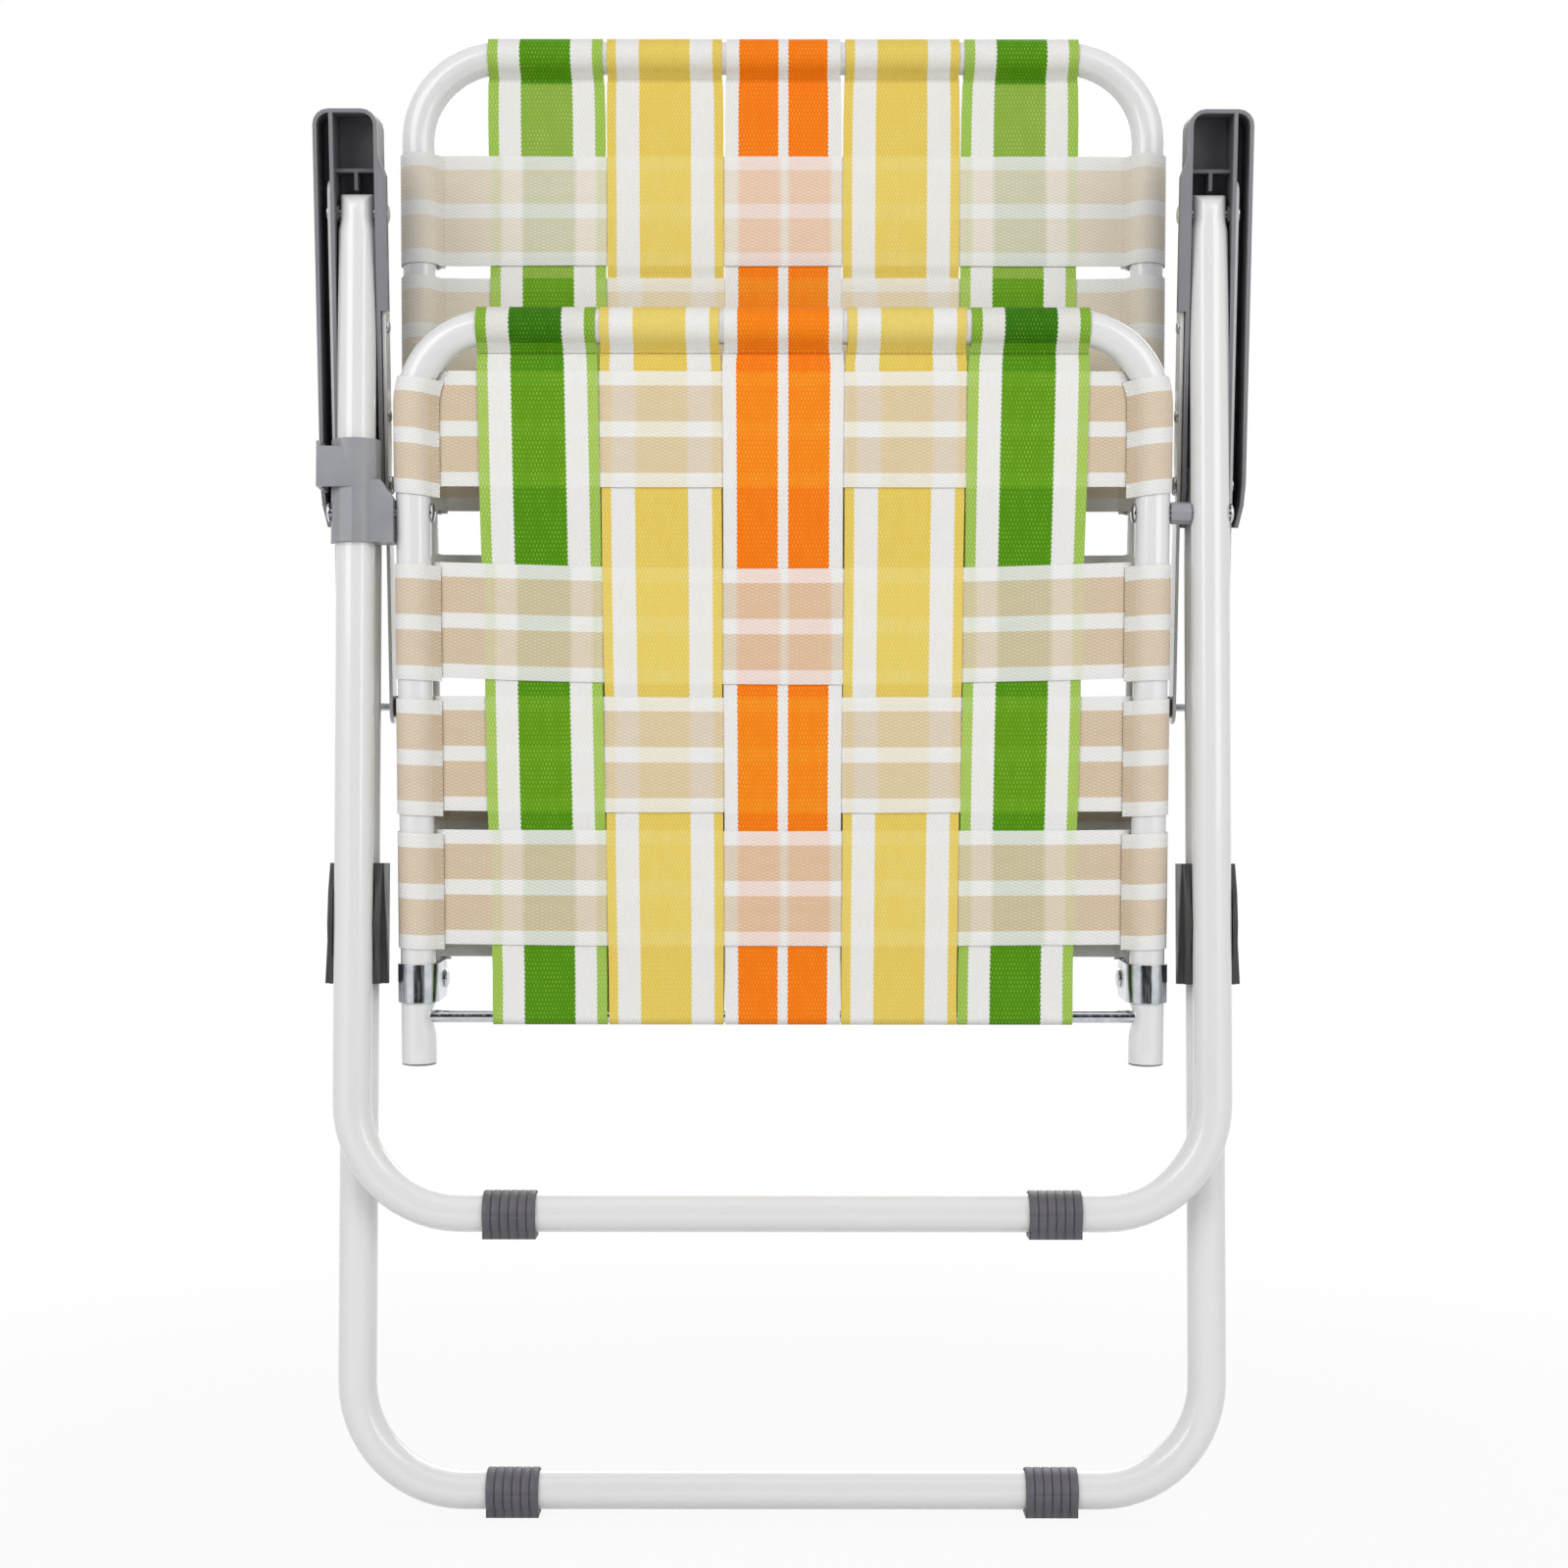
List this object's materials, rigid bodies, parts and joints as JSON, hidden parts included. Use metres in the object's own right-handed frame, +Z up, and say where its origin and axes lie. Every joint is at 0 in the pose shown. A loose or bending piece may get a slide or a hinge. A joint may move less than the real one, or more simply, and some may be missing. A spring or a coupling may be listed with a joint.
{
  "type": "folding webbed lawn chair",
  "caption": "Folding lawn chair of bent white tubes with woven striped straps, plastic armrests and ribbed feet, folded flat; arms, seat, back and rear legs unfold together.",
  "frame": {"origin": "on the floor, under the middle of the folded chair's bounding box", "axes": "+Z up along the folded chair, +X to the chair's right side as the seat's underside is viewed, -Y towards the side that shows the seat's underside"},
  "size_m": [0.534, 0.09, 0.8663],
  "materials": {
    "white_paint": "gloss white paint on bent steel tube and flat bar",
    "slate_plastic": "satin slate grey moulded plastic",
    "clip_plastic": "light grey moulded plastic with a slight gloss",
    "foot_plastic": "dark grey ribbed plastic",
    "dark_plastic": "dark grey plastic",
    "zinc": "bright zinc plating",
    "beige_strap": "woven plastic webbing, beige with white stripes",
    "green_strap": "woven plastic webbing, green with white and light green stripes",
    "yellow_strap": "woven plastic webbing, yellow with white stripes",
    "orange_strap": "woven plastic webbing, orange with white stripes"
  },
  "bodies": {
    "front_legs": {"front_leg_tube": "white_paint", "front_foot_left": "foot_plastic", "front_foot_right": "foot_plastic", "seat_pivot_rivet_left": "zinc", "seat_pivot_rivet_right": "zinc", "seat_pivot_spacer": "clip_plastic", "fold_clip": "clip_plastic"},
    "rear_legs": {"rear_leg_tube": "white_paint", "rear_foot_left": "foot_plastic", "rear_foot_right": "foot_plastic", "leg_cradle_left": "dark_plastic", "leg_cradle_right": "dark_plastic"},
    "arms": {"armrest_left": "slate_plastic", "armrest_right": "slate_plastic", "arm_bar_inner_left": "white_paint", "arm_bar_inner_right": "white_paint", "arm_bar_outer_left": "white_paint", "arm_bar_outer_right": "white_paint", "front_arm_rivet_left": "zinc", "front_arm_rivet_right": "zinc", "middle_arm_rivet_left": "zinc", "middle_arm_rivet_right": "zinc", "rear_arm_rivet_left": "zinc", "rear_arm_rivet_right": "zinc", "rear_arm_bush_left": "dark_plastic", "rear_arm_bush_right": "dark_plastic"},
    "seat": {"seat_tube": "white_paint", "cross_rod": "zinc", "seat_plug_left": "clip_plastic", "seat_plug_right": "clip_plastic", "hinge_clamp_left": "zinc", "hinge_clamp_right": "zinc", "hinge_rivet_left": "zinc", "hinge_rivet_right": "zinc", "seat_cross_strap_1": "beige_strap", "seat_cross_strap_2": "beige_strap", "seat_cross_strap_3": "beige_strap", "seat_cross_strap_4": "beige_strap", "seat_long_strap_1": "green_strap", "seat_long_strap_2": "yellow_strap", "seat_long_strap_3": "orange_strap", "seat_long_strap_4": "yellow_strap", "seat_long_strap_5": "green_strap"},
    "back": {"back_tube": "white_paint", "back_cross_strap_1": "beige_strap", "back_cross_strap_2": "beige_strap", "back_cross_strap_3": "beige_strap", "back_cross_strap_4": "beige_strap", "back_cross_strap_5": "beige_strap", "back_cross_strap_6": "beige_strap", "back_long_strap_1": "green_strap", "back_long_strap_2": "yellow_strap", "back_long_strap_3": "orange_strap", "back_long_strap_4": "yellow_strap", "back_long_strap_5": "green_strap"}
  },
  "joints": [
    {"name": "arm_fold", "type": "hinge", "parent": "front_legs", "child": "arms", "pos_m": [0, -0.02421, 0.74594], "axis": [1, 0, 0], "range_deg": [0, 90]},
    {"name": "seat_fold", "type": "hinge", "parent": "front_legs", "child": "seat", "pos_m": [0, -0.02631, 0.57396], "axis": [1, 0, 0], "range_deg": [0, 93.68]},
    {"name": "back_fold", "type": "hinge", "parent": "seat", "child": "back", "pos_m": [0, 0.01046, 0.30622], "axis": [1, 0, 0], "range_deg": [-97.24, 0]},
    {"name": "rear_leg_fold", "type": "hinge", "parent": "arms", "child": "rear_legs", "pos_m": [0, -0.00178, 0.59296], "axis": [1, 0, 0], "range_deg": [-60.49, 0]}
  ],
  "couplings": [
    {"joint": "seat_fold", "follows": "arm_fold", "ratio": 1.0408},
    {"joint": "back_fold", "follows": "arm_fold", "ratio": -1.0804},
    {"joint": "rear_leg_fold", "follows": "arm_fold", "ratio": -0.672}
  ]
}
